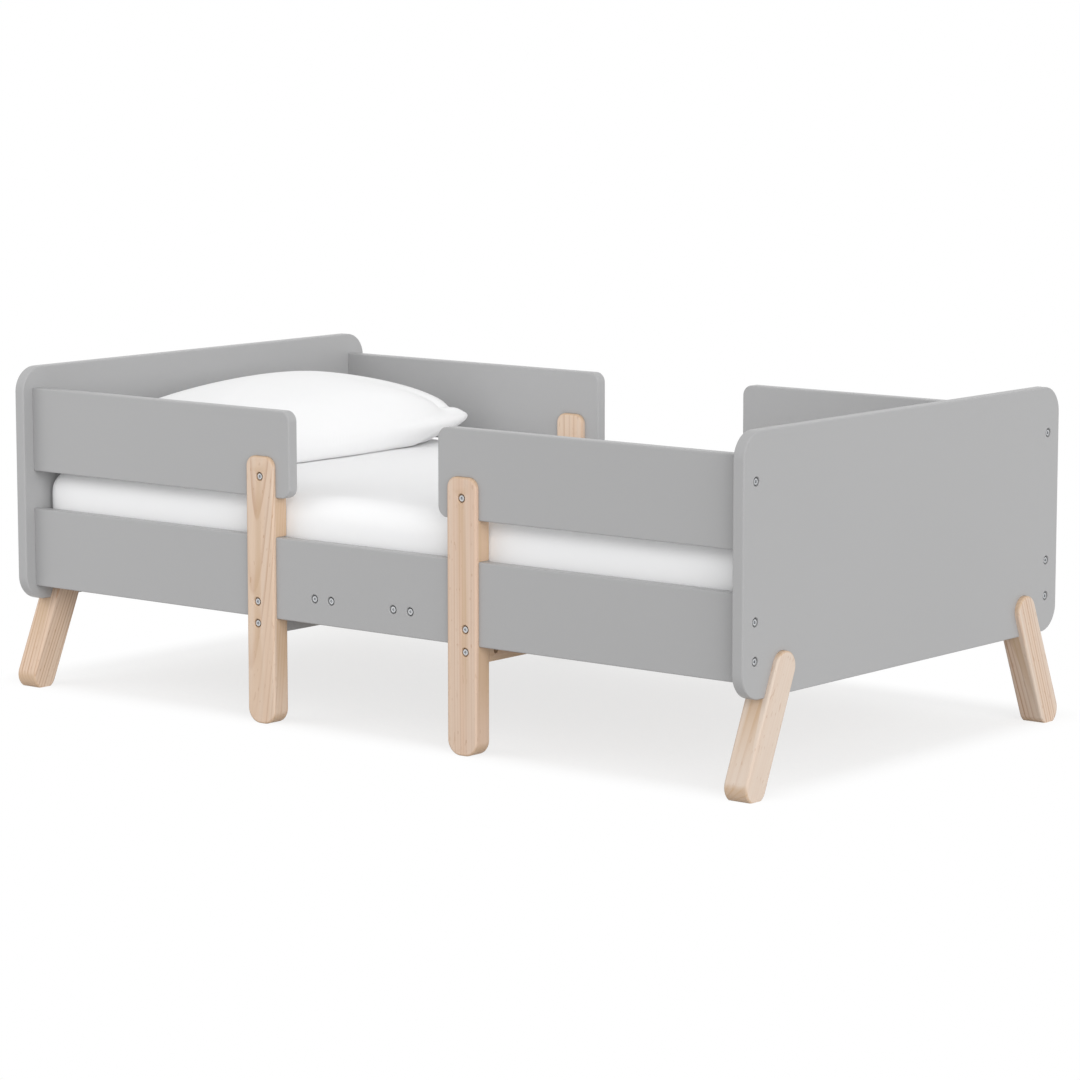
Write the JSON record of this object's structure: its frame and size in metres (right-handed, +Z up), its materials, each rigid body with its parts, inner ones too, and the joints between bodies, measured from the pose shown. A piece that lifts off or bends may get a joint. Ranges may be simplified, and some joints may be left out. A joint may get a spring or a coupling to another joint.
{
  "type": "toddler bed",
  "caption": "Low toddler bed with gray painted end panels, side rails and guard rails, splayed pine legs and upright pine posts, with a mattress and a pillow.",
  "frame": {"origin": "on the floor, under the middle of the bed", "axes": "+X from the headboard to the footboard, +Y from the front to the back, +Z up"},
  "size_m": [1.386, 0.775, 0.4925],
  "materials": {
    "gray_paint": "satin gray paint on wood",
    "pine": "pale matt lacquer on pine",
    "plywood": "bare plywood",
    "zinc": "bright zinc plate",
    "mattress_cover": "smooth white cotton",
    "pillow_cover": "smooth white cotton"
  },
  "bodies": {
    "bed_frame": {"headboard": "gray_paint", "footboard": "gray_paint", "side_rail_front": "gray_paint", "side_rail_back": "gray_paint", "guard_front_head": "gray_paint", "post_front_head": "pine", "leg_front_head": "pine", "ledger_front_head": "pine", "guard_back_head": "gray_paint", "post_back_head": "pine", "leg_back_head": "pine", "ledger_back_head": "pine", "centre_beam_head": "pine", "deck_board_head": "plywood", "guard_front_foot": "gray_paint", "post_front_foot": "pine", "leg_front_foot": "pine", "ledger_front_foot": "pine", "guard_back_foot": "gray_paint", "post_back_foot": "pine", "leg_back_foot": "pine", "ledger_back_foot": "pine", "centre_beam_foot": "pine", "deck_board_foot": "plywood", "cross_member_head": "gray_paint", "cross_member_foot": "pine", "bolt_headboard_front_guard": "zinc", "bolt_headboard_front_rail_high": "zinc", "bolt_headboard_front_rail_low": "zinc", "bolt_post_front_head_guard": "zinc", "bolt_post_front_head_high": "zinc", "bolt_post_front_head_low": "zinc", "bolt_centre_beam_head_front_inner": "zinc", "bolt_centre_beam_head_front_outer": "zinc", "bolt_headboard_back_guard": "zinc", "bolt_headboard_back_rail_high": "zinc", "bolt_headboard_back_rail_low": "zinc", "bolt_post_back_head_guard": "zinc", "bolt_post_back_head_high": "zinc", "bolt_post_back_head_low": "zinc", "bolt_centre_beam_head_back_inner": "zinc", "bolt_centre_beam_head_back_outer": "zinc", "bolt_footboard_front_guard": "zinc", "bolt_footboard_front_rail_high": "zinc", "bolt_footboard_front_rail_low": "zinc", "bolt_post_front_foot_guard": "zinc", "bolt_post_front_foot_high": "zinc", "bolt_post_front_foot_low": "zinc", "bolt_centre_beam_foot_front_inner": "zinc", "bolt_centre_beam_foot_front_outer": "zinc", "bolt_footboard_back_guard": "zinc", "bolt_footboard_back_rail_high": "zinc", "bolt_footboard_back_rail_low": "zinc", "bolt_post_back_foot_guard": "zinc", "bolt_post_back_foot_high": "zinc", "bolt_post_back_foot_low": "zinc", "bolt_centre_beam_foot_back_inner": "zinc", "bolt_centre_beam_foot_back_outer": "zinc"},
    "mattress": {"mattress": "mattress_cover"},
    "pillow": {"pillow": "pillow_cover"}
  },
  "joints": [
    {"name": "mattress_lift", "type": "slide", "parent": "bed_frame", "child": "mattress", "axis": [0, 0, 1], "range_m": [0, 0.26]},
    {"name": "pillow_lift", "type": "slide", "parent": "mattress", "child": "pillow", "axis": [0, 0, 1], "range_m": [0, 0.15]}
  ]
}
